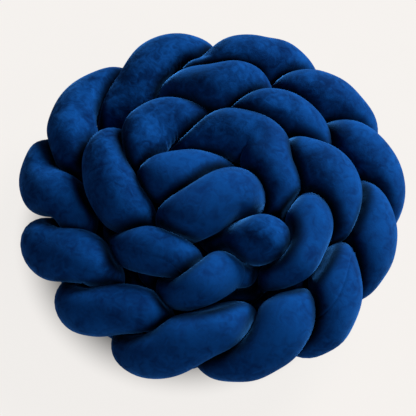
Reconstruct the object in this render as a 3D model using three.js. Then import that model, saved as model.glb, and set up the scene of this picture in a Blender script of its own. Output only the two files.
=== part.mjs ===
// A braided crib bumper: three stuffed velvet tubes in one long plait, wound into a flat rosette
// that lies on the ground. Millimetres, +Z up, origin on the ground under the middle of the rosette.
import * as THREE from "three";
import { mergeVertices } from "three/addons/utils/BufferGeometryUtils.js";

// Sizes of the plait: the tubes swing this far across it, and this far through it where they hide
const STRAND_NAMES = ["strand_a", "strand_b", "strand_c"];
const STRAND_COUNT = STRAND_NAMES.length;
const STRAND_RADIUS = 43;
const PLAIT_SPREAD = 37;
const HIDDEN_DEPTH = 16;
const CREST_SHARE = 0.3;

// Velvet
const VELVET_COLOR = 0x1d3566;
const VELVET_ROUGHNESS = 0.85;

// The plait's upper edge from the outer end inward, one row for each tube that crosses it, the tubes
// taking turns. x, y and height place the middle of the tube. lean tips the plait's upper edge
// outward and turn swivels the tube about its crossing, in degrees. depth is how far the tube
// swings through the plait there.
const CROSSINGS = [
  { x: 10, y: 206, height: 92, lean: 40, depth: 16, turn: 0 },
  { x: 92, y: 222, height: 114, lean: 40, depth: 18, turn: 8 },
  { x: 187, y: 152, height: 104, lean: 40, depth: 18, turn: 0 },
  { x: 238, y: 46, height: 100, lean: 40, depth: 18, turn: 5 },
  { x: 229, y: -79, height: 100, lean: 40, depth: 16, turn: -5 },
  { x: 168, y: -187, height: 100, lean: 40, depth: 20, turn: -2 },
  { x: 91, y: -230, height: 100, lean: 40, depth: 21, turn: 2 },
  { x: -50, y: -246, height: 100, lean: 38, depth: 33, turn: -3 },
  { x: -151, y: -192, height: 98, lean: 38, depth: 34, turn: -2 },
  { x: -218, y: -111, height: 98, lean: 38, depth: 34, turn: 0 },
  { x: -236, y: -12, height: 100, lean: 38, depth: 28, turn: 18 },
  { x: -218, y: 110, height: 98, lean: 38, depth: 19, turn: 17 },
  { x: -76, y: 235, height: 104, lean: 36, depth: 21, turn: 9 },
  { x: 20, y: 150, height: 140, lean: 26, depth: 18, turn: 27 },
  { x: 91, y: 106, height: 142, lean: 24, depth: 18, turn: 9 },
  { x: 168, y: 1, height: 142, lean: 22, depth: 20, turn: 9 },
  { x: 114, y: -127, height: 145, lean: 22, depth: 18, turn: -12 },
  { x: -26, y: -175, height: 132, lean: 22, depth: 20, turn: -22 },
  { x: -60, y: -133, height: 141, lean: 22, depth: 8, turn: 4 },
  { x: -152, y: -12, height: 142, lean: 20, depth: 25, turn: -36 },
  { x: -105, y: 60, height: 146, lean: 15, depth: 18, turn: 30 },
  { x: 70, y: 54, height: 152, lean: 5, depth: 22, turn: -4 },
];

// The stretch of each tube that follows the plait, counted in rows of the table above
const PLAIT_FROM = [0.65, 0.9, 0.5];
const PLAIT_TO = [20.1, 19.9, 20.5];
const PLAIT_STEP = 0.2;

// The turns of each tube before that stretch, where it starts
const OUTER_TURNS = [
  [],
  [
    { x: -36, y: 178, height: 74 },
    { x: -8, y: 194, height: 110 },
    { x: 34, y: 217, height: 121 },
  ],
  [],
];

// The turns of each tube after it, in the middle of the rosette: down, under its neighbours, over
// the top once more and down to its end
const MIDDLE_TURNS = [
  [
    { x: -22, y: 58, height: 132 },
    { x: 28, y: 68, height: 152 },
    { x: 75, y: 50, height: 154 },
    { x: 96, y: 4, height: 150 },
    { x: 92, y: -42, height: 132 },
    { x: 84, y: -72, height: 94 },
    { x: 48, y: -60, height: 62 },
    { x: 26, y: -18, height: 66 },
    { x: 20, y: 8, height: 104 },
    { x: -10, y: 0, height: 146 },
    { x: -57, y: -14, height: 160 },
    { x: -92, y: -18, height: 146 },
    { x: -108, y: -20, height: 106 },
    { x: -98, y: -20, height: 74 },
  ],
  [
    { x: -50, y: 30, height: 72 },
    { x: -24, y: -16, height: 72 },
    { x: -10, y: -56, height: 88 },
    { x: 14, y: -84, height: 126 },
    { x: 48, y: -108, height: 158 },
    { x: 76, y: -126, height: 154 },
    { x: 98, y: -138, height: 112 },
    { x: 92, y: -138, height: 74 },
  ],
  [
    { x: 28, y: 86, height: 98 },
    { x: 62, y: 54, height: 82 },
    { x: 74, y: 14, height: 80 },
    { x: 64, y: -20, height: 110 },
    { x: 40, y: -44, height: 154 },
    { x: 0, y: -61, height: 168 },
    { x: -45, y: -78, height: 158 },
    { x: -76, y: -94, height: 118 },
    { x: -74, y: -98, height: 84 },
  ],
];

// How close the middles of two squeezed tubes come, and how the tubes settle to that
const LEAST_DISTANCE = 0.8 * STRAND_RADIUS;
const SELF_REACH = 3.6 * STRAND_RADIUS;
const SETTLING_STEP = 15;
const SETTLING_ROUNDS = 60;
const SETTLING_SHARE = 0.25;
const SPREADING = 0.35;

// How the stuffed tubes press flat against each other, and round off at their ends
const CLEARANCE = 0.85;
const CLEARING_ROUNDS = 4;
const NEIGHBOUR_REACH = 3.2 * STRAND_RADIUS;
const SLANT_LIMIT = 0.05;
const BEND_SHARE = 0.85;
const CORNER_SHARPNESS = 8;
const KEPT_AREA = 0.95;
const MOST_BULGE = 1.1;
const FITTING_ROUNDS = 4;
const SMOOTHED_RINGS = 2;
const END_ROUNDING = 40;

// Facets
const RINGS = 134;
const SIDES = 12;
const SAMPLE_STEP = 6;
const MERGE_DISTANCE = 0.001;

const UP = new THREE.Vector3(0, 0, 1);
const { clamp, degToRad } = THREE.MathUtils;

/** Reads one column smoothly between the rows of the table. */
function rowValue(name, place) {
  const last = CROSSINGS.length - 1;
  const first = clamp(Math.floor(place), 0, last - 1);
  const row = (index) => CROSSINGS[clamp(index, 0, last)][name];
  const share = place - first;
  const slopeStart = (row(first + 1) - row(first - 1)) / 2;
  const slopeEnd = (row(first + 2) - row(first)) / 2;
  const rise = row(first + 1) - row(first);
  const bend = 3 * rise - 2 * slopeStart - slopeEnd;
  const twist = slopeStart + slopeEnd - 2 * rise;
  return row(first) + slopeStart * share + bend * share ** 2 + twist * share ** 3;
}

function crestPoint(place) {
  return new THREE.Vector3(rowValue("x", place), rowValue("y", place), rowValue("height", place));
}

/** The plait's own directions: across its width, which is nearly upward, and through it, outward. */
function plaitDirections(place) {
  const along = crestPoint(place + PLAIT_STEP / 4).sub(crestPoint(place - PLAIT_STEP / 4));
  const outward = new THREE.Vector3(-along.y, along.x, 0).normalize();
  const lean = degToRad(rowValue("lean", place));
  const across = UP.clone().multiplyScalar(Math.cos(lean)).addScaledVector(outward, Math.sin(lean));
  const through = outward.clone().multiplyScalar(Math.cos(lean)).addScaledVector(UP, -Math.sin(lean));
  return { across, through };
}

/** One at a crossing, falling smoothly to nothing at the next. */
function nearness(offset) {
  const share = Math.min(Math.abs(offset), 1);
  return (1 - share ** 2) ** 2;
}

/** The middle of a tube in the plait, which swings once across it and twice through it a round. */
function plaitPoint(strand, place) {
  const rounds = (place - strand) / STRAND_COUNT;
  const crossing = strand + STRAND_COUNT * Math.round(rounds);
  const row = CROSSINGS[clamp(crossing, 0, CROSSINGS.length - 1)];
  const near = nearness(place - crossing);
  const depth = HIDDEN_DEPTH + (row.depth - HIDDEN_DEPTH) * near;
  const swing = 2 * Math.PI * (rounds + 1 / 4);
  const weave = Math.sin(2 * swing + CREST_SHARE * Math.sin(2 * swing));
  const { across, through } = plaitDirections(place);
  const crest = crestPoint(crossing);
  return crestPoint(place)
    .addScaledVector(across, PLAIT_SPREAD * (Math.sin(swing) - 1))
    .addScaledVector(through, -depth * weave)
    .sub(crest)
    .applyAxisAngle(UP, degToRad(row.turn) * near)
    .add(crest);
}

function turnPoint({ x, y, height }) {
  return new THREE.Vector3(x, y, height);
}

/** The whole middle line of one tube, before the tubes settle. */
function woundCurve(strand) {
  const points = OUTER_TURNS[strand].map(turnPoint);
  for (let place = PLAIT_FROM[strand]; place <= PLAIT_TO[strand]; place += PLAIT_STEP) {
    points.push(plaitPoint(strand, place));
  }
  return new THREE.CatmullRomCurve3(points.concat(MIDDLE_TURNS[strand].map(turnPoint)));
}

/** Even points along a middle line, with how far along it each lies. */
function evenPoints(curve, step) {
  const length = curve.getLength();
  const count = Math.round(length / step);
  return curve.getSpacedPoints(count).map((point, index) => ({ point, along: (index * length) / count }));
}

/** Pushes two lines apart wherever their points come closer than squeezed tubes allow. */
function pushApart(line, other) {
  line.forEach((here) => {
    other.forEach((there) => {
      if (line === other && there.along - here.along < SELF_REACH) return;
      const offset = there.point.clone().add(there.shift).sub(here.point).sub(here.shift);
      const distance = offset.length();
      if (distance >= LEAST_DISTANCE) return;
      offset.multiplyScalar((SETTLING_SHARE * (LEAST_DISTANCE - distance)) / distance);
      there.shift.add(offset);
      here.shift.sub(offset);
    });
  });
}

/** Spreads the shifts along a line, so that it keeps its own bends. */
function spreadShifts(line) {
  for (let index = 1; index < line.length - 1; index += 1) {
    const around = line[index - 1].shift.clone().add(line[index + 1].shift).multiplyScalar(1 / 2);
    line[index].shift.lerp(around, SPREADING);
  }
}

/** Lets the wound tubes settle beside each other and gives their middle lines. */
function settledCurves(curves) {
  const lines = curves.map((curve) => evenPoints(curve, SETTLING_STEP));
  lines.flat().forEach((entry) => {
    entry.shift = new THREE.Vector3();
  });
  for (let round = 0; round < SETTLING_ROUNDS; round += 1) {
    lines.forEach((line, index) => lines.slice(index).forEach((other) => pushApart(line, other)));
    lines.forEach(spreadShifts);
  }
  return lines.map((line) => new THREE.CatmullRomCurve3(line.map(({ point, shift }) => point.add(shift))));
}

/** Unit directions at each ring, carried along the tube without twist, and how sharply it bends. */
function ringFrames(rings) {
  const step = rings[1].along;
  const at = (index) => rings[clamp(index, 0, RINGS)].point;
  const tangents = rings.map((ring, index) => at(index + 1).clone().sub(at(index - 1)).normalize());
  let side = UP.clone().cross(tangents[0]).normalize();
  return tangents.map((tangent, index) => {
    side = side.clone().addScaledVector(tangent, -side.dot(tangent)).normalize();
    const before = tangents[Math.max(index - 1, 0)];
    const after = tangents[Math.min(index + 1, RINGS)];
    const bend = after.clone().sub(before).divideScalar(2 * step);
    return { side, top: tangent.clone().cross(side), bend };
  });
}

/** How far a tube can reach in one direction before it meets the plane between it and a neighbour. */
function reachToNeighbours(middle, direction, neighbours) {
  let reach = Infinity;
  neighbours.forEach((neighbour) => {
    const offset = neighbour.clone().sub(middle);
    const distance = offset.length();
    const facing = offset.dot(direction) / distance;
    if (facing > SLANT_LIMIT) reach = Math.min(reach, (distance / 2 - CLEARANCE) / facing);
  });
  return reach;
}

/** The free reach of one ring in each of its directions, before neighbours or its own bend. */
function ringLimits(middle, frame, neighbours) {
  return Array.from({ length: SIDES }, (unused, index) => {
    const angle = (-2 * Math.PI * index) / SIDES;
    const direction = frame.side.clone().multiplyScalar(Math.cos(angle));
    direction.addScaledVector(frame.top, Math.sin(angle));
    const inward = frame.bend.dot(direction);
    const bendLimit = inward > 0 ? BEND_SHARE / inward : Infinity;
    return { direction, limit: Math.min(reachToNeighbours(middle, direction, neighbours), bendLimit) };
  });
}

/** The smaller of two lengths, with the corner between them rounded. */
function softReach(radius, limit) {
  const ratio = radius / limit;
  return radius / (1 + ratio ** CORNER_SHARPNESS) ** (1 / CORNER_SHARPNESS);
}

/** The radius whose outline, once pressed, keeps most of the round section's area. */
function plumpRadius(limits) {
  let radius = STRAND_RADIUS;
  for (let round = 0; round < FITTING_ROUNDS; round += 1) {
    const squares = limits.map(({ limit }) => softReach(radius, limit) ** 2);
    const area = squares.reduce((sum, value) => sum + value, 0) / squares.length;
    radius *= Math.sqrt((KEPT_AREA * STRAND_RADIUS ** 2) / area);
    radius = clamp(radius, STRAND_RADIUS, MOST_BULGE * STRAND_RADIUS);
  }
  return radius;
}

/** The radius at each ring, evened out along the tube and rounded off at both ends. */
function ringRadii(rings, limits) {
  const plump = limits.map(plumpRadius);
  const total = rings[RINGS].along;
  return rings.map(({ along }, index) => {
    const around = plump.slice(Math.max(index - SMOOTHED_RINGS, 0), index + SMOOTHED_RINGS + 1);
    const mean = around.reduce((sum, value) => sum + value, 0) / around.length;
    const rounding = Math.min(Math.min(along, total - along) / END_ROUNDING, 1);
    return mean * Math.sqrt(1 - (1 - rounding) ** 2);
  });
}

/** Points of all tubes near one ring, apart from the tube's own next stretch. */
function pointsNear(ring, own, samples) {
  const near = samples.flatMap((strand, index) =>
    strand.filter(({ point, along }) => {
      const isOwnStretch = index === own && Math.abs(along - ring.along) < SELF_REACH;
      return !isOwnStretch && point.distanceTo(ring.point) < NEIGHBOUR_REACH;
    }),
  );
  return near.map(({ point }) => point);
}

/** How far a point of the surface lies beyond the halfway between its own middle line and the others. */
function trespass(point, middle, neighbours) {
  const nearest = neighbours.reduce((least, other) => Math.min(least, other.distanceTo(point)), Infinity);
  return (point.distanceTo(middle) - nearest) / 2 + CLEARANCE;
}

/** Draws the outline in wherever an edge between two rings would cut into a neighbour. */
function clearEdges(rings, outline, neighbours) {
  const corner = (index, side) => {
    const { direction, reach } = outline[index][side % SIDES];
    return rings[index].point.clone().addScaledVector(direction, reach);
  };
  for (let index = 0; index < RINGS; index += 1) {
    const middle = rings[index].point.clone().lerp(rings[index + 1].point, 0.5);
    for (let side = 0; side < SIDES; side += 1) {
      [side, side + 1].forEach((far) => {
        const halfway = corner(index, side).lerp(corner(index + 1, far), 0.5);
        const excess = Math.max(trespass(halfway, middle, neighbours[index]), 0);
        outline[index][side].reach -= excess;
        outline[index + 1][far % SIDES].reach -= excess;
      });
    }
  }
}

/** One closed tube, a sphere's rows of vertices moved out to its rings, flat where it lies on the ground. */
function strandGeometry(rings, own, samples) {
  const frames = ringFrames(rings);
  const neighbours = rings.map((ring) => pointsNear(ring, own, samples));
  const limits = rings.map(({ point }, index) => ringLimits(point, frames[index], neighbours[index]));
  const radii = ringRadii(rings, limits);
  const outline = limits.map((ringOutline, index) =>
    ringOutline.map(({ direction, limit }) => ({ direction, reach: softReach(radii[index], limit) })),
  );
  for (let round = 0; round < CLEARING_ROUNDS; round += 1) clearEdges(rings, outline, neighbours);
  const geometry = new THREE.SphereGeometry(1, SIDES, RINGS);
  rings.forEach(({ point }, index) => {
    for (let side = 0; side <= SIDES; side += 1) {
      const { direction, reach } = outline[index][side % SIDES];
      const place = point.clone().addScaledVector(direction, reach);
      geometry.attributes.position.setXYZ(index * (SIDES + 1) + side, place.x, place.y, Math.max(place.z, 0));
    }
  });
  geometry.deleteAttribute("normal");
  geometry.deleteAttribute("uv");
  return mergeVertices(geometry, MERGE_DISTANCE);
}

function strandMesh(name, geometry) {
  const material = new THREE.MeshStandardMaterial({
    color: VELVET_COLOR,
    roughness: VELVET_ROUGHNESS,
    metalness: 0,
  });
  const mesh = new THREE.Mesh(geometry, material);
  mesh.name = name;
  return mesh;
}

/** The three tubes, moved together so that the origin lies under the middle of their box. */
function buildBumper() {
  const curves = settledCurves(STRAND_NAMES.map((name, index) => woundCurve(index)));
  const samples = curves.map((curve) => evenPoints(curve, SAMPLE_STEP));
  const bumper = new THREE.Group();
  STRAND_NAMES.forEach((name, index) => {
    const rings = evenPoints(curves[index], curves[index].getLength() / RINGS);
    bumper.add(strandMesh(name, strandGeometry(rings, index, samples)));
  });
  const middle = new THREE.Box3().setFromObject(bumper).getCenter(new THREE.Vector3());
  bumper.children.forEach((mesh) => mesh.position.set(-middle.x, -middle.y, 0));
  return bumper;
}

export default buildBumper();
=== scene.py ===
"""The braided crib bumper: three stuffed velvet tubes, plaited, and the plait wound into a rosette."""

import logging
import math
from dataclasses import dataclass, field
from enum import Enum
from functools import partial

import bmesh
import bpy
import numpy as np
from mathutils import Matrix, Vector


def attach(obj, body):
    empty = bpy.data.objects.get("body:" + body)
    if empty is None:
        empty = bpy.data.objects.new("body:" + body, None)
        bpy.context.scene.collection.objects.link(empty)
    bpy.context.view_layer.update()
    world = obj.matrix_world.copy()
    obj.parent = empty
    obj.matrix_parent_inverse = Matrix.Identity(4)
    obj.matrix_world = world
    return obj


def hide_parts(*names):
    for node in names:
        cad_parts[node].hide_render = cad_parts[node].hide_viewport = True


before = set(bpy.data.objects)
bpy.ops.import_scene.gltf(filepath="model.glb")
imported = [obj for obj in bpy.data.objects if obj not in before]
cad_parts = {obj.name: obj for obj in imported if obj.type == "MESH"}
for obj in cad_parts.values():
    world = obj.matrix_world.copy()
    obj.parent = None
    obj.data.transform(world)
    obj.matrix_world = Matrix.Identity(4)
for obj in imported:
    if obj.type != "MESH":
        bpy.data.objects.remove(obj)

LOG = logging.getLogger("bumper")
MM = 0.001
CAD_SIDES = 12
GROUND_HEIGHT = 0.1 * MM

# Small values that keep a zero from dividing, join points that coincide, or let a range reach its end.
MICRON = 1e-6
TINY = 1e-9
FAINT = 1e-12


class Strand(Enum):
    """The plait's three tubes, by the names of their CAD nodes."""

    A = "strand_a"
    B = "strand_b"
    C = "strand_c"


@dataclass(frozen=True)
class Nudge:
    """A stretch of tube that lies a little beside its CAD middle line, or is held tighter or looser. The
    distances are in millimetres, and the girth is what its radius gains."""

    along: float
    reach: float
    x: float
    y: float
    z: float
    girth: float


@dataclass(frozen=True)
class SeamPlace:
    """Where a lengthwise seam runs: millimetres along the tube, and degrees from the tube's top."""

    along: float
    angle: float


@dataclass(frozen=True)
class Dent:
    """A dimple or crease, in millimetres and degrees. It lies at an angle from the tube's top, and its length
    is turned from the tube's own."""

    along: float
    angle: float
    length: float
    width: float
    depth: float
    turn: float


NUDGES = {
    Strand.A: (
        Nudge(284, 60, -1, 3, 0, 0),
        Nudge(690, 60, 0, 2, 0, 0),
        Nudge(1080, 55, 6, 3, 0, 1),
        Nudge(1150, 40, -1, 6, 8, 5),
        Nudge(1399, 25, 0, -7, 8, 0),
        Nudge(1500, 60, -5, 1, 0, 0),
        Nudge(2053, 50, -6, 5, 0, 0),
        Nudge(2398, 30, 0, 8, 0, -7),
        Nudge(2445, 45, 1, 10, 0, -6),
        Nudge(2515, 45, 13, 2, -18, -5),
        Nudge(2860, 60, -2, 2, 0, 0),
        Nudge(2919, 32, -7, -6, 0, 0),
        Nudge(3311, 28, 2, 12, 0, 0),
    ),
    Strand.B: (
        Nudge(20, 22, -5, 1, 0, 2),
        Nudge(60, 30, 4, -6, -6, 0),
        Nudge(132, 30, 0, 6, 0, 1),
        Nudge(200, 40, -5, -3, 0, 0),
        Nudge(630, 50, -3, 12, 0, 0),
        Nudge(880, 34, 5, -3, 0, 2),
        Nudge(955, 50, 4, 5, 0, 0),
        Nudge(1040, 40, -3, 6, 0, 3),
        Nudge(1275, 30, -14, 0, -16, -8),
        Nudge(1355, 60, 5, 3, 0, 0),
        Nudge(1460, 50, -3, 28, 6, 3),
        Nudge(1762, 36, 2, -9, -13, -3),
        Nudge(1800, 26, 0, 3, 1, 1),
        Nudge(1852, 46, 0, 6, 7, 0),
        Nudge(2265, 50, -2, 5, -8, -8),
        Nudge(2334, 44, -9, 32, -36, -12),
        Nudge(2410, 40, -3, 10, -22, -4),
        Nudge(2700, 60, 4, 3, 0, 0),
        Nudge(2765, 40, 3, 14, 6, 0),
        Nudge(3060, 30, 4, 0, -12, -1),
        Nudge(3122, 36, 17, 20, 0, -9),
    ),
    Strand.C: (
        Nudge(520, 35, -3, 6, 4, 0),
        Nudge(600, 60, 3, 6, 0, 0),
        Nudge(843, 40, 0, 5, 0, -2),
        Nudge(955, 38, 1, -8, -5, -6),
        Nudge(980, 60, 6, 7, 0, 0),
        Nudge(1055, 40, -4, 8, 4, 3),
        Nudge(1400, 80, 1, -3, 0, 0),
        Nudge(1820, 50, -3, 6, 0, 1),
        Nudge(2160, 36, -14, 5, -8, -11),
        Nudge(2190, 34, -4, 5, 0, -3),
        Nudge(2230, 40, 2, 9, 0, -10),
        Nudge(2292, 38, 9, 10, -10, -8),
        Nudge(2690, 60, 1, 2, 0, 0),
        Nudge(3028, 28, -2, 9, 4, 0),
    ),
}

SEAM_PLACES = {
    Strand.A: (
        SeamPlace(0, 150),
        SeamPlace(2230, 150),
        SeamPlace(2400, 325),
        SeamPlace(2480, 314),
        SeamPlace(2600, 210),
        SeamPlace(2700, 150),
    ),
    Strand.B: (
        SeamPlace(0, 170),
    ),
    Strand.C: (
        SeamPlace(0, -150),
        SeamPlace(380, -130),
        SeamPlace(500, -52),
        SeamPlace(551, -29),
        SeamPlace(600, -9),
        SeamPlace(665, 20),
        SeamPlace(850, 150),
    ),
}

CROSS_JOINS = {Strand.A: 1452}

DENTS = {
    Strand.A: (
        Dent(2926, 66, 4.5, 24, 5.0, 8),
        Dent(2911, 70, 4.5, 16, 1.8, -6),
        Dent(2942, 72, 5, 18, 2.0, 14),
    ),
    Strand.C: (
        Dent(1360, 12, 11, 15, 2.6, 20),
        Dent(1385, 2, 14, 7, 1.0, -30),
    ),
}


def linear(colour: str) -> tuple[float, float, float, float]:
    """Turns an sRGB colour into the linear values that shaders take.

    Args:
        colour: The colour as six hex digits, such as "1d3566".

    Returns:
        Linear red, green and blue, and full opacity.
    """
    channels = [int(colour[place : place + 2], 16) / 255 for place in (0, 2, 4)]
    red, green, blue = (c / 12.92 if c <= 0.04045 else ((c + 0.055) / 1.055) ** 2.4 for c in channels)
    return red, green, blue, 1.0


def add_node(
    material: bpy.types.Material,
    kind: str,
    settings: dict[str, object] | None = None,
    inputs: dict[str | int, object] | None = None,
) -> bpy.types.Node:
    """Adds a shader node with its settings, and sets or links its inputs.

    Args:
        material: The material whose nodes it joins.
        kind: The node's type name, without the words that all shader nodes begin with.
        settings: Values of the node's own properties.
        inputs: A value, or a socket to link from, for each named or numbered input.

    Returns:
        The new node.
    """
    tree = material.node_tree
    node = tree.nodes.new("ShaderNode" + kind)
    for name, value in (settings or {}).items():
        setattr(node, name, value)
    for name, value in (inputs or {}).items():
        if isinstance(value, bpy.types.NodeSocket):
            tree.links.new(value, node.inputs[name])
        else:
            node.inputs[name].default_value = value
    return node


def add_blend(
    material: bpy.types.Material, share: bpy.types.NodeSocket, first: object, second: object
) -> bpy.types.NodeSocket:
    """Adds a node that blends two colours, or sockets that give them, by the share of the second one."""
    inputs = {"Factor": share, "A": first, "B": second}
    return add_node(material, "Mix", {"data_type": "RGBA"}, inputs).outputs["Result"]


def add_ease(
    material: bpy.types.Material, value: bpy.types.NodeSocket, start: float, end: float, top: float = 1.0
) -> bpy.types.NodeSocket:
    """Adds a node that rises smoothly from 0 to a top while a value goes from a start to an end."""
    inputs = {"Value": value, "From Min": start, "From Max": end, "To Max": top}
    return add_node(material, "MapRange", {"interpolation_type": "SMOOTHSTEP"}, inputs).outputs["Result"]


def empty_material(name: str) -> bpy.types.Material:
    """Makes a material with no nodes in it."""
    material = bpy.data.materials.new(name)
    material.use_nodes = True
    material.node_tree.nodes.clear()
    return material


@dataclass(frozen=True)
class Mottle:
    """A random pattern: how large its patches are, and how fine, rough and twisted their outlines."""

    size: float
    detail: float = 2.0
    roughness: float = 0.5
    distortion: float = 0.0

    def inputs(self) -> dict[str, float]:
        """The inputs that a noise texture takes for the pattern."""
        return {
            "Scale": 1 / self.size,
            "Detail": self.detail,
            "Roughness": self.roughness,
            "Distortion": self.distortion,
        }


@dataclass(frozen=True)
class CrushedVelvet:
    """Polyester velvet, knitted with a short pile and brushed to and fro. It is deep and dark where the eye
    looks into the pile, and bright and bluer where it looks across its tips. The pile leans along the tube,
    in some patches more than in others, which leaves soft clouds. Where tubes meet, its colour is painted
    near-black as shade in the crevices, and along its seams it is darker where the pile parts."""

    name: str = "polyester_velvet"
    pile_depth_colour: str = "02183f"
    pile_tip_colour: str = "05326a"
    # Painted shade: the base colour goes to this near-black where a tube lies close to a neighbour, and it
    # also darkens the seams where the pile parts.
    crevice_shade_and_seam_colour: str = "000205"
    sheen_colour: str = "3a86de"
    sheen: float = 0.55
    sheen_roughness: float = 0.36
    buried_width: float = 0.5 * MM
    # Within the first width of a neighbour the painted shade is full; it fades out by the second.
    crevice_shade_and_seam_width: float = 7 * MM
    roughness: float = 0.9
    ior: float = 1.5
    specular_level: float = 0.01
    clouds: Mottle = Mottle(45 * MM, detail=3.0, roughness=0.55, distortion=0.6)
    strokes: Mottle = Mottle(14 * MM, distortion=1.2)
    # The real pile's tufts are about 0.4 mm apart. They are drawn coarser, so that their grain shows.
    pile: Mottle = Mottle(2.4 * MM, roughness=0.7)
    stroke_share: float = 0.45
    depth_from: float = 0.27
    tips_from: float = 0.73
    lean_from: float = 0.25
    lean_to: float = 0.75
    most_lean: float = -0.4
    least_lean: float = 0.1
    cloud_relief: float = 0.26 * MM
    pile_relief: float = 0.33 * MM

    def build(self) -> bpy.types.Material:
        """Makes the velvet's material."""
        material = empty_material(self.name)
        add = partial(add_node, material)
        place = add("TexCoord").outputs["Object"]
        clouds, strokes, pile = (
            add("TexNoise", inputs={"Vector": place, **mottle.inputs()}).outputs["Fac"]
            for mottle in (self.clouds, self.strokes, self.pile)
        )
        nap = add("Mix", {"data_type": "FLOAT"}, {"Factor": self.stroke_share, "A": clouds, "B": strokes})
        spread = add_ease(material, nap.outputs["Result"], self.depth_from, self.tips_from)
        colour = add_blend(material, spread, linear(self.pile_depth_colour), linear(self.pile_tip_colour))
        room = add("Attribute", {"attribute_name": "room"})
        # Painted shade between the tubes, and darker seams: the less room a point has, the nearer its colour
        # comes to near-black.
        free = add_ease(material, room.outputs["Fac"], self.buried_width, self.crevice_shade_and_seam_width)
        base_with_shade_and_seams = add_blend(material, free, linear(self.crevice_shade_and_seam_colour), colour)
        along = add("Attribute", {"attribute_name": "along"})
        lean = add(
            "MapRange",
            inputs={
                "Value": nap.outputs["Result"],
                "From Min": self.lean_from,
                "From Max": self.lean_to,
                "To Min": self.most_lean,
                "To Max": self.least_lean,
            },
        )
        ways = {0: along.outputs["Vector"], "Scale": lean.outputs["Result"]}
        leaning = add("VectorMath", {"operation": "SCALE"}, ways)
        upright = add("NewGeometry").outputs["Normal"]
        tilted = add("VectorMath", {"operation": "ADD"}, {0: upright, 1: leaning.outputs["Vector"]})
        faced = add("VectorMath", {"operation": "NORMALIZE"}, {0: tilted.outputs["Vector"]})
        normal = faced.outputs["Vector"]
        for height, distance in ((pile, self.pile_relief), (spread, self.cloud_relief)):
            inputs = {"Strength": 1.0, "Distance": distance, "Height": height, "Normal": normal}
            normal = add("Bump", inputs=inputs).outputs["Normal"]
        shader = add(
            "BsdfPrincipled",
            inputs={
                "Base Color": base_with_shade_and_seams,
                "Roughness": self.roughness,
                "IOR": self.ior,
                "Specular IOR Level": self.specular_level,
                "Sheen Weight": self.sheen,
                "Sheen Roughness": self.sheen_roughness,
                "Sheen Tint": linear(self.sheen_colour),
                "Normal": normal,
            },
        )
        add("OutputMaterial", inputs={"Surface": shader.outputs["BSDF"]})
        return material


@dataclass(frozen=True)
class PaintedFloor:
    """A floor painted off-white, rolled on and matt. It gives the eye an even pale ground with a faint grain.
    It glows, so that the ground is nearly white. The glow is turned down in a disc a little left of and in
    front of the rosette's middle, which paints a soft shadow under and around the rosette."""

    name: str = "matt_floor_paint"
    pale_colour: str = "2e2c2b"
    grain_colour: str = "2b2928"
    glow_colour: str = "f4f1ee"
    grain: Mottle = Mottle(60 * MM)
    glow: float = 0.955
    # Painted shadow: the glow is off within the first radius of this point and back to full by the second.
    painted_shadow_middle: tuple[float, float, float] = (-36 * MM, -12 * MM, 0.0)
    painted_shadow_radius: float = 190 * MM
    painted_shadow_fade_radius: float = 285 * MM

    def build(self) -> bpy.types.Material:
        """Makes the paint's material."""
        material = empty_material(self.name)
        add = partial(add_node, material)
        place = add("TexCoord").outputs["Object"]
        grain = add("TexNoise", inputs={"Vector": place, **self.grain.inputs()}).outputs["Fac"]
        colour = add_blend(material, grain, linear(self.pale_colour), linear(self.grain_colour))
        # The glow is turned down near the painted shadow's middle.
        apart = add("VectorMath", {"operation": "DISTANCE"}, {0: place, 1: self.painted_shadow_middle})
        glow_beside_painted_shadow = add_ease(material, apart.outputs["Value"], self.painted_shadow_radius, self.painted_shadow_fade_radius, self.glow)
        shader = add(
            "BsdfPrincipled",
            inputs={
                "Base Color": colour,
                "Roughness": 1.0,
                "Specular IOR Level": 0.0,
                "Emission Color": linear(self.glow_colour),
                "Emission Strength": glow_beside_painted_shadow,
            },
        )
        add("OutputMaterial", inputs={"Surface": shader.outputs["BSDF"]})
        return material


def cad_rings(node: bpy.types.Object) -> tuple[np.ndarray, np.ndarray]:
    """Reads a CAD tube as rings of vertices, from its outer end to its inner end.

    Args:
        node: The tube's CAD mesh, whose two end points each join one whole ring.

    Returns:
        The rings as an array of rings, sides and coordinates, and the two end points.
    """
    mesh = bmesh.new()
    mesh.from_mesh(node.data)
    bmesh.ops.remove_doubles(mesh, verts=mesh.verts, dist=MICRON)
    mesh.verts.index_update()
    tips = [vert for vert in mesh.verts if len(vert.link_edges) == CAD_SIDES]
    tips.sort(key=lambda vert: -vert.co.xy.length)
    seen = {tips[0]}
    ring = [edge.other_vert(tips[0]) for edge in tips[0].link_edges]
    rings = []
    while len(ring) == CAD_SIDES:
        seen.update(ring)
        members = set(ring)
        ordered = [ring[0]]
        while len(ordered) < CAD_SIDES:
            links = [edge.other_vert(ordered[-1]) for edge in ordered[-1].link_edges]
            ordered.append(next(vert for vert in links if vert in members and vert not in ordered))
        rings.append(np.array([vert.co for vert in ordered]))
        following = {edge.other_vert(vert) for vert in ring for edge in vert.link_edges} - seen
        ring = sorted(following, key=lambda vert: vert.index)
    ends = np.array([tips[0].co, tips[1].co])
    mesh.free()
    return np.array(rings), ends


def ring_middle(ring: np.ndarray) -> np.ndarray:
    """Finds the point where the lines between opposite vertices of a ring meet. Lines that end on the ground
    are left out where enough others remain, because pressing has moved their vertices.

    Args:
        ring: The ring's points, in order.

    Returns:
        The meeting point.
    """
    half = CAD_SIDES // 2
    pairs = [(ring[side], ring[side + half]) for side in range(half)]
    free = [pair for pair in pairs if min(pair[0][2], pair[1][2]) > GROUND_HEIGHT]
    total, aim = np.zeros((3, 3)), np.zeros(3)
    for first, second in free if len(free) > 2 else pairs:
        along = (second - first) / np.linalg.norm(second - first)
        across = np.eye(3) - np.outer(along, along)
        total += across
        aim += across @ first
    return np.linalg.solve(total, aim)


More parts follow.
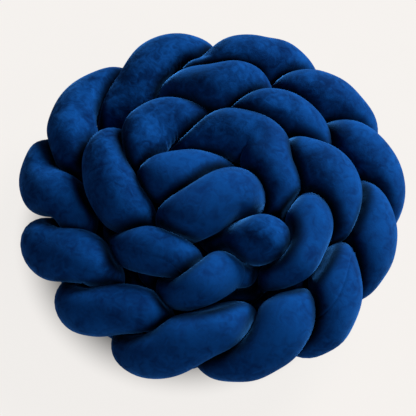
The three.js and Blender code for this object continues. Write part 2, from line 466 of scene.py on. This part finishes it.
def spline(values: np.ndarray, places: np.ndarray) -> np.ndarray:
    """Draws a smooth curve through evenly spaced points.

    Args:
        values: The points, one a row, at places 0, 1, 2 and so on.
        places: Where along the rows to read the curve.

    Returns:
        A point for each place.
    """
    count = len(values)
    system = np.eye(count)
    pull = np.zeros_like(values)
    for row in range(1, count - 1):
        system[row, row - 1 : row + 2] = 1, 4, 1
        pull[row] = 6 * (values[row - 1] - 2 * values[row] + values[row + 1])
    bends = np.linalg.solve(system, pull)
    row = np.clip(places.astype(int), 0, count - 2)
    after = (places - row)[:, None]
    before = 1 - after
    smooth = (before**3 - before) * bends[row] + (after**3 - after) * bends[row + 1]
    return before * values[row] + after * values[row + 1] + smooth / 6


def between(values: np.ndarray, places: np.ndarray, closed: bool) -> np.ndarray:
    """Reads rows of values at places between them, smoothly.

    Args:
        values: The rows.
        places: Where to read, counted in rows.
        closed: Whether the last row is followed by the first one.

    Returns:
        A row for each place.
    """
    count = len(values)
    base = np.floor(places).astype(int)
    share = (places - base).reshape((-1,) + (1,) * (values.ndim - 1))

    def row(step: int) -> np.ndarray:
        """The rows that lie some steps after each place."""
        index = base + step
        return values[index % count if closed else np.clip(index, 0, count - 1)]

    weights = (
        ((2 - share) * share - 1) * share / 2,
        ((3 * share - 5) * share * share + 2) / 2,
        ((4 - 3 * share) * share + 1) * share / 2,
        (share - 1) * share * share / 2,
    )
    return sum(weight * row(step - 1) for step, weight in enumerate(weights))


def lengths(points: np.ndarray) -> np.ndarray:
    """The distances between each point and the next."""
    return np.linalg.norm(np.diff(points, axis=0), axis=1)


def evened(values: np.ndarray, width: float, along: np.ndarray) -> np.ndarray:
    """Evens values out along a tube.

    Args:
        values: A value, or a row of them, for each ring.
        width: The distance over which they are evened.
        along: Each ring's distance from the tube's end.

    Returns:
        The evened values.
    """
    weights = np.exp(-(((along[:, None] - along[None]) / width) ** 2))
    return (weights / weights.sum(1, keepdims=True)) @ values


def outward(surface: np.ndarray) -> np.ndarray:
    """Finds the outward directions of a tube's surface.

    Args:
        surface: The points as an array of rings, columns and coordinates.

    Returns:
        A unit direction for each point.
    """
    along = np.gradient(surface, axis=0)
    around = np.roll(surface, -1, axis=1) - np.roll(surface, 1, axis=1)
    across = np.cross(around, along)
    return across / np.maximum(np.linalg.norm(across, axis=2, keepdims=True), FAINT)


@dataclass
class Pressing:
    """How the stuffed tubes press on each other and on the ground."""

    radius: float = 43 * MM
    gap: float = 0.45 * MM
    own_stretch: float = 155 * MM
    reach: float = 138 * MM
    slant_limit: float = 0.05
    bend_share: float = 0.85
    lift: float = 13 * MM
    roundness: float = 7.0
    taut_width: float = 16 * MM
    kept_area: float = 1.0
    most_bulge: float = 1.05
    plump_rounds: int = 4
    least_slant: float = 1e-3
    least_reach: float = 1 * MM
    free_reach: float = 10.0

    def soften(self, radius: np.ndarray, limit: np.ndarray) -> np.ndarray:
        """Takes the smaller of two lengths, with the corner between them rounded.

        Args:
            radius: The free lengths.
            limit: The lengths that the neighbours leave.

        Returns:
            The rounded smaller lengths.
        """
        return radius / (1 + (radius / limit) ** self.roundness) ** (1 / self.roundness)

    def slanted(self, distance: np.ndarray | float, slant: np.ndarray, least: float) -> np.ndarray:
        """Finds how far each direction goes until it has come a distance nearer to something.

        Args:
            distance: The distance.
            slant: How much of each direction points that way.
            least: The smallest slant that counts as pointing that way.

        Returns:
            The lengths, which are the free reach for directions that don't count.
        """
        return np.where(slant > least, distance / np.maximum(slant, least), self.free_reach)

    def drawn_taut(self, share: np.ndarray, along: np.ndarray, angles: np.ndarray) -> np.ndarray:
        """Evens the surface out along and around the tube, as the stretched velvet does.

        Args:
            share: Each point's share of its ring's radius.
            along: Each ring's distance from the tube's end.
            angles: The angles of each ring's columns.

        Returns:
            The evened shares.
        """
        turns = np.exp(1j * (angles[0] - angles[0, 0]))
        apart = np.angle(turns[:, None] / turns[None]) * self.radius
        spacing = np.abs(np.angle(np.roll(turns, -1) / np.roll(turns, 1)))
        weights = np.exp(-((apart / self.taut_width) ** 2)) * spacing
        return evened(share, self.taut_width, along) @ (weights / weights.sum(1, keepdims=True)).T

    def plump(self, limit: np.ndarray) -> np.ndarray:
        """Finds the radius that keeps most of each pressed section's area.

        Args:
            limit: The free reach of each ring in each direction.

        Returns:
            A radius for each ring.
        """
        radius = np.full(len(limit), self.radius)
        for _ in range(self.plump_rounds):
            area = (self.soften(radius[:, None], limit) ** 2).mean(1)
            radius *= np.sqrt(self.kept_area * self.radius**2 / area)
            radius = np.clip(radius, self.radius, self.most_bulge * self.radius)
        return radius


@dataclass
class Line:
    """The middle line of a tube, with the directions around it."""

    points: np.ndarray
    along: np.ndarray
    tangents: np.ndarray
    sides: np.ndarray
    tops: np.ndarray
    bends: np.ndarray

    @classmethod
    def through(cls, marks: np.ndarray, places: np.ndarray) -> "Line":
        """Draws a line through marks and reads it at places.

        Args:
            marks: Evenly spaced points of the line.
            places: Where to read it, counted in marks.

        Returns:
            The line.
        """
        points = spline(marks, places)
        step = 0.02
        before = spline(marks, np.clip(places - step, 0, len(marks) - 1))
        after = spline(marks, np.clip(places + step, 0, len(marks) - 1))
        tangents = after - before
        tangents /= np.linalg.norm(tangents, axis=1, keepdims=True)
        along = np.concatenate([[0], np.cumsum(lengths(points))])
        bends = np.gradient(tangents, along, axis=0)
        side = np.cross((0, 0, 1), tangents[0])
        sides = []
        for tangent in tangents:
            side = side - tangent * (side @ tangent)
            side /= np.linalg.norm(side)
            sides.append(side)
        sides = np.array(sides)
        return cls(points, along, tangents, sides, np.cross(tangents, sides), bends)

    def directions(self, angles: np.ndarray) -> np.ndarray:
        """Gives the directions across the line at each ring.

        Args:
            angles: The angles of each ring's columns.

        Returns:
            Unit directions as an array of rings, columns and coordinates.
        """
        sideways, topways = np.cos(angles)[..., None], np.sin(angles)[..., None]
        return sideways * self.sides[:, None] + topways * self.tops[:, None]

    def upward(self) -> np.ndarray:
        """Gives the way up at each ring, as a complex number whose angle is the angle of the tube's top."""
        ups = np.array([0, 0, 1]) - self.tangents * self.tangents[:, 2:]
        return (ups * self.sides).sum(1) + 1j * (ups * self.tops).sum(1)


def add_object(name: str, data: bpy.types.ID) -> bpy.types.Object:
    """Puts a mesh, lamp or camera into the scene as an object."""
    added = bpy.data.objects.new(name, data)
    bpy.context.scene.collection.objects.link(added)
    return added


def mesh_points(mesh: bpy.types.Mesh) -> np.ndarray:
    """Reads a mesh's points, one a row."""
    points = np.empty(len(mesh.vertices) * 3, np.float32)
    mesh.vertices.foreach_get("co", points)
    return points.reshape(-1, 3).astype(float)


def in_mesh_order(values: np.ndarray) -> np.ndarray:
    """Lists the values at a tube's rings and columns in the order of its mesh's points.

    Args:
        values: The values, as an array that begins with rings and columns.

    Returns:
        The values, with one for the whole first ring and one for the whole last ring.
    """
    inner = values[1:-1].reshape(-1, *values.shape[2:])
    return np.concatenate([[values[0].mean(0)], inner, [values[-1].mean(0)]])


def tube_mesh(name: str, surface: np.ndarray) -> bpy.types.Object:
    """Makes a closed tube out of rings of points. The first and last rings each become one point.

    Args:
        name: The object's name.
        surface: The points as an array of rings, columns and coordinates.

    Returns:
        The tube.
    """
    rings, columns = surface.shape[:2]
    points = in_mesh_order(surface)
    faces = []
    last = len(points) - 1
    for column in range(columns):
        after = (column + 1) % columns
        faces.append((0, 1 + after, 1 + column))
        for ring in range(rings - 3):
            row, below = 1 + ring * columns, 1 + (ring + 1) * columns
            faces.append((row + column, row + after, below + after, below + column))
        row = 1 + (rings - 3) * columns
        faces.append((row + column, row + after, last))
    mesh = bpy.data.meshes.new(name)
    mesh.from_pydata(points.tolist(), [], faces)
    mesh.update()
    mesh.shade_smooth()
    return add_object(name, mesh)


def keep_values(mesh: bpy.types.Mesh, name: str, values: np.ndarray) -> None:
    """Keeps a number or a direction for each point of a tube's mesh, for its material.

    Args:
        mesh: The tube's mesh.
        name: What the values are called.
        values: The numbers or directions at each ring and column.
    """
    kind, field_name = ("FLOAT", "value") if values.ndim == 2 else ("FLOAT_VECTOR", "vector")
    data = mesh.attributes.new(name, kind, "POINT").data
    data.foreach_set(field_name, in_mesh_order(values).astype(np.float32).ravel())


@dataclass(frozen=True)
class SoftNoise:
    """Smooth unevenness, made of seeded waves that run in all directions. The calm divides their sum."""

    seed: int
    shortest: float
    longest: float
    waves: int = 24
    calm: float = 1.5

    def at(self, points: np.ndarray) -> np.ndarray:
        """Reads the unevenness at points.

        Args:
            points: An array of points, with the coordinates last.

        Returns:
            A value for each point, mostly between -1 and 1.
        """
        draw = np.random.default_rng(self.seed)
        aims = draw.normal(size=(self.waves, 3))
        aims *= 2 * math.pi / np.linalg.norm(aims, axis=1, keepdims=True)
        aims /= draw.uniform(self.shortest, self.longest, (self.waves, 1))
        starts = draw.uniform(0, 2 * math.pi, self.waves)
        total = np.zeros(points.shape[:-1])
        for aim, start in zip(aims, starts):
            total += np.sin(points @ aim + start)
        return total * math.sqrt(2 / self.waves) / self.calm


@dataclass(frozen=True)
class Swelling:
    """The cloth simulation that lets the filling press the velvet outward."""

    pressure: float = 4.0
    spare_cloth: float = 0.03
    frames: int = 14
    most: float = 6 * MM
    quality: int = 4
    weight: float = 0.25
    stretch_stiffness: float = 12.0
    shear_stiffness: float = 5.0
    bending_stiffness: float = 0.6

    def start(self, piece: bpy.types.Object) -> None:
        """Makes a tube a cloth that its filling presses on."""
        modifier = piece.modifiers.new("swelling", "CLOTH")
        cloth = modifier.settings
        cloth.quality = self.quality
        cloth.mass = self.weight
        cloth.tension_stiffness = cloth.compression_stiffness = self.stretch_stiffness
        cloth.shear_stiffness = self.shear_stiffness
        cloth.bending_stiffness = self.bending_stiffness
        cloth.shrink_min = -self.spare_cloth
        cloth.use_pressure = True
        cloth.uniform_pressure_force = self.pressure
        cloth.effector_weights.gravity = 0
        modifier.collision_settings.use_collision = False
        modifier.point_cache.frame_start = 1
        modifier.point_cache.frame_end = self.frames

    def moves(self, pieces: list[bpy.types.Object]) -> list[np.ndarray]:
        """Runs the simulation and reads how far each point has moved.

        Args:
            pieces: The tubes' meshes.

        Returns:
            The moves of each tube's points, none longer than the most.
        """
        scene = bpy.context.scene
        for piece in pieces:
            self.start(piece)
        for number in range(1, self.frames + 1):
            scene.frame_set(number)
        graph = bpy.context.evaluated_depsgraph_get()
        found = []
        for piece in pieces:
            move = mesh_points(piece.evaluated_get(graph).data) - mesh_points(piece.data)
            length = np.linalg.norm(move, axis=1, keepdims=True)
            found.append(move * np.tanh(length / self.most) * self.most / np.maximum(length, TINY))
        scene.frame_set(1)
        return found


@dataclass
class StuffedTube:
    """One velvet tube, sewn lengthwise, stuffed and closed at both ends."""

    strand: Strand
    pressing: Pressing
    velvet: bpy.types.Material
    coarse_rings: int = 400
    coarse_columns: int = 48
    fine_rings: int = 780
    fine_columns: int = 96
    end_rounding: float = 40 * MM
    end_rings: int = 12
    top_evening: float = 30 * MM
    seam_evening: float = 22 * MM
    join_band: float = 11 * MM
    fill: float = 0.85
    marks: np.ndarray = field(init=False)

    def __post_init__(self) -> None:
        """Reads the tube's middle line from the CAD and nudges it."""
        rings, ends = cad_rings(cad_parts[self.node])
        marks = np.array([ends[0], *(ring_middle(ring) for ring in rings), ends[1]])
        along = np.linspace(0, lengths(marks).sum(), len(marks))
        self.marks = marks + self.nudged(along)[:, :3]

    @property
    def node(self) -> str:
        """The name of the tube's CAD node."""
        return self.strand.value

    def nudged(self, along: np.ndarray) -> np.ndarray:
        """Adds up the nudges at places along the tube.

        Args:
            along: The distances from the tube's end.

        Returns:
            The move and the gain in radius at each place, as rows of four.
        """
        total = np.zeros((len(along), 4))
        for nudge in NUDGES[self.strand]:
            share = np.exp(-(((along - nudge.along * MM) / (nudge.reach * MM)) ** 2))
            total += share[:, None] * np.array([nudge.x, nudge.y, nudge.z, nudge.girth]) * MM
        return total

    def ring_places(self, count: int) -> np.ndarray:
        """Spreads rings along the tube, closer together towards both ends.

        Args:
            count: How many rings the tube's long middle part gets.

        Returns:
            The rings' places, counted in marks.
        """
        last = len(self.marks) - 1
        scale = last / lengths(self.marks).sum()
        cap = scale * self.end_rounding
        turn = np.linspace(0, math.pi / 2, self.end_rings, endpoint=False)
        start = cap * (1 - np.cos(turn))
        middle = np.linspace(cap, last - cap, count)
        if self.strand in CROSS_JOINS and count == self.fine_rings:
            join = CROSS_JOINS[self.strand] * MM * scale
            closer = join + scale * self.seam_steps() * MM
            middle = np.sort(np.concatenate([middle[np.abs(middle - join) > self.join_band * scale], closer]))
        return np.concatenate([start, middle, last - start[::-1]])

    def seam_steps(self) -> np.ndarray:
        """The offsets of the closer rows of vertices on both sides of a seam, in millimetres."""
        half = np.array([1.0, 2.2, 3.8, 6.0, 9.0])
        return np.concatenate([-half[::-1], [0], half])

    def column_angles(self, line: Line) -> np.ndarray:
        """Gives the angles of the fine grid's columns, which follow the seam and lie closer beside it.

        Args:
            line: The tube's middle line.

        Returns:
            The angles of each ring's columns.
        """
        top = np.unwrap(np.angle(evened(line.upward(), self.top_evening, line.along)))
        places = SEAM_PLACES[self.strand]
        marked = [place.along * MM for place in places]
        angle = np.interp(line.along, marked, [place.angle for place in places])
        seam = top + np.radians(evened(angle, self.seam_evening, line.along))
        beside = self.seam_steps() * MM / self.pressing.radius
        others = self.fine_columns - len(beside)
        rest = np.linspace(beside[-1], 2 * math.pi + beside[0], others + 2)[1:-1]
        return seam[:, None] + np.concatenate([beside, rest])[None]

    def line(self, count: int) -> Line:
        """Reads the middle line at a number of rings."""
        return Line.through(self.marks, self.ring_places(count))


@dataclass
class Dressing:
    """The fine relief of a tube's velvet: its seam, its cross join, dimples, creases and small wrinkles."""

    tube: StuffedTube
    line: Line
    angles: np.ndarray
    seam_depth: float = 1.2 * MM
    seam_width: float = 1.3 * MM
    shoulder: float = 0.35 * MM
    shoulder_place: float = 5 * MM
    shoulder_width: float = 3 * MM
    stitch: float = 9 * MM
    pucker_share: float = 0.5
    pile_room: float = 12 * MM
    parting: float = 2.0
    seam_share: float = 0.25
    wrinkle_depth: float = 1.1 * MM
    wrinkle_step: float = 14 * MM
    wrinkle_drift: SoftNoise = SoftNoise(11, 40 * MM, 90 * MM)
    drift_turn: float = 5.0
    wrinkle_patches: SoftNoise = SoftNoise(12, 30 * MM, 60 * MM)
    patch_share: float = 0.5
    tight_bend: float = 0.3
    bend_spread: float = 0.4
    ridge_limit: float = -0.3

    def depth(self, points: np.ndarray) -> np.ndarray:
        """Finds how far each of the surface's points is drawn in."""
        return self.seam() + self.cross_join() + self.dents() + self.wrinkles(points)

    def groove(self, beside: np.ndarray, onward: np.ndarray) -> np.ndarray:
        """Draws a sewn groove with soft shoulders that pucker a little at each stitch.

        Args:
            beside: Each point's distance from the seam.
            onward: Each point's distance along the seam.

        Returns:
            The depth at each point.
        """
        cut = np.exp(-((beside / self.seam_width) ** 2))
        sides = np.exp(-(((np.abs(beside) - self.shoulder_place) / self.shoulder_width) ** 2))
        pucker = 1 + self.pucker_share * np.sin(2 * math.pi * onward / self.stitch)
        return self.seam_depth * cut - self.shoulder * sides * pucker

    def around(self) -> np.ndarray:
        """Gives each point's distance round the tube from the seam."""
        seam = self.angles[:, len(self.tube.seam_steps()) // 2]
        return np.angle(np.exp(1j * (self.angles - seam[:, None]))) * self.tube.pressing.radius

    def seam(self) -> np.ndarray:
        """Draws the lengthwise seam."""
        return self.groove(self.around(), self.line.along[:, None])

    def cross_join(self) -> np.ndarray:
        """Draws the join between two lengths of velvet, where the tube has one."""
        if self.tube.strand not in CROSS_JOINS:
            return np.zeros_like(self.angles)
        onward = self.line.along[:, None] - CROSS_JOINS[self.tube.strand] * MM
        return self.groove(onward, self.around())

    def parted(self, room: np.ndarray) -> np.ndarray:
        """Takes away the room over the sewing, where the eye looks down into the parted pile.

        Args:
            room: How far each point lies from a neighbour.

        Returns:
            The room that is left.
        """
        depth = np.maximum(self.cross_join() + self.seam_share * self.seam(), 0) / self.seam_depth
        return np.minimum(room, self.pile_room * np.exp(-self.parting * depth))

    def dents(self) -> np.ndarray:
        """Draws the dimples and creases."""
        top = np.angle(self.line.upward())
        depth = np.zeros_like(self.angles)
        for dent in DENTS.get(self.tube.strand, ()):
            turned = self.angles - top[:, None] - math.radians(dent.angle)
            around = np.angle(np.exp(1j * turned)) * self.tube.pressing.radius
            along = self.line.along[:, None] - dent.along * MM
            turn = math.radians(dent.turn)
            length = (along * math.cos(turn) + around * math.sin(turn)) / (dent.length * MM)
            width = (around * math.cos(turn) - along * math.sin(turn)) / (dent.width * MM)
            depth += dent.depth * MM * np.exp(-(length**2) - width**2)
        return depth

    def wrinkles(self, points: np.ndarray) -> np.ndarray:
        """Draws small wrinkles across the inner sides of the tighter bends."""
        directions = self.line.directions(self.angles)
        squeeze = (self.line.bends[:, None] * directions).sum(2) * self.tube.pressing.radius
        share = np.clip((squeeze - self.tight_bend) / self.bend_spread, 0, 1)
        drift = self.drift_turn * self.wrinkle_drift.at(points)
        wave = np.sin(2 * math.pi * self.line.along[:, None] / self.wrinkle_step + drift)
        patches = np.clip(self.patch_share + self.wrinkle_patches.at(points), 0, 1)
        return self.wrinkle_depth * share * patches * np.clip(wave, self.ridge_limit, 1)


@dataclass
class Rosette:
    """The three tubes where they lie against each other."""

    pressing: Pressing
    tubes: list[StuffedTube]
    sample_step: float = 0.16
    lumps: SoftNoise = SoftNoise(7, 45 * MM, 120 * MM)
    lump_height: float = 0.9 * MM
    girth_evening: float = 25 * MM
    own_window: float = 50 * MM
    clearing_rounds: int = 3

    def samples(self) -> list[Line]:
        """Reads every tube's middle line closely, for the distances to it."""
        places = [np.arange(0, len(tube.marks) - 1 + TINY, self.sample_step) for tube in self.tubes]
        return [Line.through(tube.marks, place) for tube, place in zip(self.tubes, places)]

    def neighbours(self, own: int, line: Line, samples: list[Line]) -> list[np.ndarray]:
        """Collects, for each ring, the points of all tubes near it, apart from the tube's own next stretch.

        Args:
            own: The number of the ring's own tube.
            line: The tube's middle line.
            samples: The middle lines of all tubes.

        Returns:
            The points near each ring.
        """
        near = []
        for point, along in zip(line.points, line.along):
            picked = []
            for number, sample in enumerate(samples):
                close = np.linalg.norm(sample.points - point, axis=1) < self.pressing.reach
                if number == own:
                    close &= np.abs(sample.along - along) > self.pressing.own_stretch
                picked.append(sample.points[close])
            near.append(np.concatenate(picked))
        return near

    def limits(self, line: Line, directions: np.ndarray, near: list[np.ndarray]) -> np.ndarray:
        """Finds how far each ring can reach before it meets a neighbour, the ground or its own bend.

        Args:
            line: The tube's middle line.
            directions: The directions of each ring's columns.
            near: The neighbours' points near each ring.

        Returns:
            The reach of each ring in each direction.
        """
        pressing = self.pressing
        reach = np.full(directions.shape[:2], pressing.free_reach)
        for number, points in enumerate(near):
            if len(points):
                offset = points - line.points[number]
                distance = np.linalg.norm(offset, axis=1)
                facing = directions[number] @ (offset / distance[:, None]).T
                halfway = distance / 2 - pressing.lift * offset[:, 2] / distance - pressing.gap
                reach[number] = pressing.slanted(halfway, facing, pressing.slant_limit).min(1)
        heights = line.points[:, None, 2]
        ground = pressing.slanted(heights, -directions[..., 2], pressing.least_slant)
        inward = (line.bends[:, None] * directions).sum(2)
        inner = pressing.slanted(pressing.bend_share, inward, pressing.least_slant)
        return np.maximum(np.minimum(np.minimum(reach, ground), inner), pressing.least_reach)

    def surface(self, own: int, line: Line, angles: np.ndarray, near: list[np.ndarray]) -> np.ndarray:
        """Finds the pressed surface of a tube.

        Args:
            own: The number of the tube.
            line: The tube's middle line.
            angles: The angles of each ring's columns.
            near: The neighbours' points near each ring.

        Returns:
            The surface's points as an array of rings, columns and coordinates.
        """
        directions = line.directions(angles)
        limit = self.limits(line, directions, near)
        radius = evened(self.pressing.plump(limit), self.girth_evening, line.along)
        radius += self.tubes[own].nudged(line.along)[:, 3]
        total = line.along[-1]
        rounding = np.minimum(np.minimum(line.along, total - line.along) / self.tubes[own].end_rounding, 1)
        radius = radius * np.sqrt(1 - (1 - rounding) ** 2) + MICRON
        share = self.pressing.soften(radius[:, None], limit) / radius[:, None]
        reach = radius[:, None] * self.pressing.drawn_taut(share, line.along, angles)
        return line.points[:, None] + directions * reach[..., None]

    def cleared(
        self, line: Line, surface: np.ndarray, near: list[np.ndarray]
    ) -> tuple[np.ndarray, np.ndarray]:
        """Draws a tube's surface in wherever it has come past the halfway to a neighbour or into the ground.

        Args:
            line: The tube's middle line.
            surface: The surface's points.
            near: The neighbours' points near each ring.

        Returns:
            The cleared points, and how far each one still lies from the halfway.
        """
        surface = surface + (0, 0, self.pressing.lift)
        room = np.full(surface.shape[:2], self.pressing.free_reach)
        for number, points in enumerate(near):
            if len(points):
                ring = surface[number]
                window = np.abs(line.along - line.along[number]) < self.own_window
                own = line.points[window]
                for _ in range(self.clearing_rounds):
                    gaps = np.linalg.norm(ring[:, None] - own[None], axis=2)
                    nearest = gaps.argmin(1)
                    to_own = own[nearest] - ring
                    distance = np.linalg.norm(to_own, axis=1)
                    other = np.linalg.norm(ring[:, None] - points[None], axis=2).min(1)
                    excess = np.maximum((distance - other) / 2 + self.pressing.gap, 0)
                    ring = ring + to_own * (excess / np.maximum(distance, MICRON))[:, None]
                surface[number] = ring
                room[number] = (other - distance) / 2
        surface = surface - (0, 0, self.pressing.lift)
        surface[..., 2] = np.maximum(surface[..., 2], 0)
        return surface, room

    def swells(self, samples: list[Line]) -> list[np.ndarray]:
        """Simulates the three tubes on a coarser grid.

        Args:
            samples: The middle lines of all tubes.

        Returns:
            The moves of each tube's grid as arrays of rings, columns and coordinates.
        """
        pieces = []
        for own, tube in enumerate(self.tubes):
            line = tube.line(tube.coarse_rings)
            turns = np.linspace(0, 2 * math.pi, tube.coarse_columns, endpoint=False)
            angles = np.tile(turns, (len(line.points), 1))
            surface = self.surface(own, line, angles, self.neighbours(own, line, samples))
            pieces.append(tube_mesh("swelling_" + tube.node, surface))
        swells = []
        for tube, piece, move in zip(self.tubes, pieces, Swelling().moves(pieces)):
            inner = move[1:-1].reshape(-1, tube.coarse_columns, 3)
            ends = [np.repeat(move[end][None, None], tube.coarse_columns, 1) for end in (0, -1)]
            swells.append(np.concatenate([ends[0], inner, ends[1]]))
            bpy.data.objects.remove(piece)
        return swells

    def swell_at(self, own: int, swell: np.ndarray, angles: np.ndarray) -> np.ndarray:
        """Reads a tube's simulated moves at the points of its fine grid.

        Args:
            own: The number of the tube.
            swell: The moves of its coarse grid.
            angles: The angles of the fine grid's columns.

        Returns:
            The moves of the fine grid's points.
        """
        tube = self.tubes[own]
        coarse = tube.ring_places(tube.coarse_rings)
        rows = np.interp(tube.ring_places(tube.fine_rings), coarse, np.arange(len(coarse)))
        ringed = between(swell, rows, closed=False)
        columns = (angles / (2 * math.pi) * tube.coarse_columns) % tube.coarse_columns
        return np.array([between(ring, column, closed=True) for ring, column in zip(ringed, columns)])

    def build(self) -> list[bpy.types.Object]:
        """Makes the three tubes' objects."""
        samples = self.samples()
        swells = self.swells(samples)
        pieces = []
        for own, tube in enumerate(self.tubes):
            line = tube.line(tube.fine_rings)
            angles = tube.column_angles(line)
            near = self.neighbours(own, line, samples)
            surface = self.surface(own, line, angles, near)
            if swells[own] is not None:
                surface = surface + self.swell_at(own, swells[own], angles)
            surface = surface + line.directions(angles) * self.lump_height * self.lumps.at(surface)[..., None]
            surface, room = self.cleared(line, surface, near)
            dressing = Dressing(tube, line, angles)
            surface = surface - outward(surface) * dressing.depth(surface)[..., None]
            surface[..., 2] = np.maximum(surface[..., 2], 0)
            piece = tube_mesh(tube.node.replace("strand", "velvet_tube"), surface)
            piece.data.materials.append(tube.velvet)
            keep_values(piece.data, "room", dressing.parted(room))
            keep_values(piece.data, "along", np.repeat(line.tangents[:, None], len(angles[0]), axis=1))
            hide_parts(tube.node)
            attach(piece, "root")
            LOG.info("%s: %d faces", piece.name, len(piece.data.polygons))
            pieces.append(piece)
        return pieces


@dataclass(frozen=True)
class SoftLamp:
    """A large round lamp that shines at the rosette."""

    name: str
    place: tuple[float, float, float]
    size: float
    power: float
    colour: str = "fffaf4"

    def build(self) -> None:
        """Hangs the lamp."""
        data = bpy.data.lights.new(self.name, "AREA")
        data.shape = "DISK"
        data.size = self.size
        data.energy = self.power
        data.color = linear(self.colour)[:3]
        lamp = add_object(self.name, data)
        lamp.location = self.place
        lamp.rotation_euler = (-Vector(self.place)).to_track_quat("-Z", "Y").to_euler()


@dataclass
class Studio:
    """The floor, the soft lights and the camera."""

    floor_size: float = 12.0
    floor_drop: float = 0.3 * MM
    camera_from: tuple[float, float, float] = (-0.0041, -0.906, 1.7626)
    camera_to: tuple[float, float, float] = (-0.0041, -0.014, 0.085)
    camera_angle: float = 19.31
    sky_colour: str = "f4f6ff"
    sky_strength: float = 0.2
    lamps: tuple[SoftLamp, ...] = (
        SoftLamp("back_lamp", (5.1, 5.5, 4.2), 4.6, 2400),
        SoftLamp("front_lamp", (5.77, -4.04, 4.93), 4.6, 450),
    )

    def build(self) -> None:
        """Makes the floor, the lights and the camera."""
        self.build_floor()
        self.build_lights()
        self.build_camera()

    def build_floor(self) -> None:
        """Lays the floor just under the rosette."""
        half = self.floor_size / 2
        mesh = bpy.data.meshes.new("floor")
        corners = [(-half, -half), (half, -half), (half, half), (-half, half)]
        mesh.from_pydata([(x, y, -self.floor_drop) for x, y in corners], [], [(0, 1, 2, 3)])
        mesh.materials.append(PaintedFloor().build())
        add_object("floor", mesh)

    def build_lights(self) -> None:
        """Sets the even sky and the large soft lamps."""
        scene = bpy.context.scene
        scene.world = bpy.data.worlds.new("sky")
        scene.world.use_nodes = True
        sky = scene.world.node_tree.nodes["Background"]
        sky.inputs["Color"].default_value = linear(self.sky_colour)
        sky.inputs["Strength"].default_value = self.sky_strength
        for lamp in self.lamps:
            lamp.build()
        scene.view_settings.view_transform = "Standard"

    def build_camera(self) -> None:
        """Sets the camera where the photograph was taken from."""
        data = bpy.data.cameras.new("camera")
        data.sensor_fit = "HORIZONTAL"
        data.angle = math.radians(self.camera_angle)
        camera = add_object("camera", data)
        camera.location = self.camera_from
        aim = Vector(self.camera_to) - Vector(self.camera_from)
        camera.rotation_euler = aim.to_track_quat("-Z", "Y").to_euler()
        bpy.context.scene.camera = camera


def main() -> None:
    """Builds the rosette and the studio."""
    logging.basicConfig(level=logging.INFO, format="%(name)s: %(message)s")
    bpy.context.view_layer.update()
    velvet = CrushedVelvet().build()
    pressing = Pressing()
    Rosette(pressing, [StuffedTube(strand, pressing, velvet) for strand in Strand]).build()
    Studio().build()


if __name__ == "__main__":
    main()
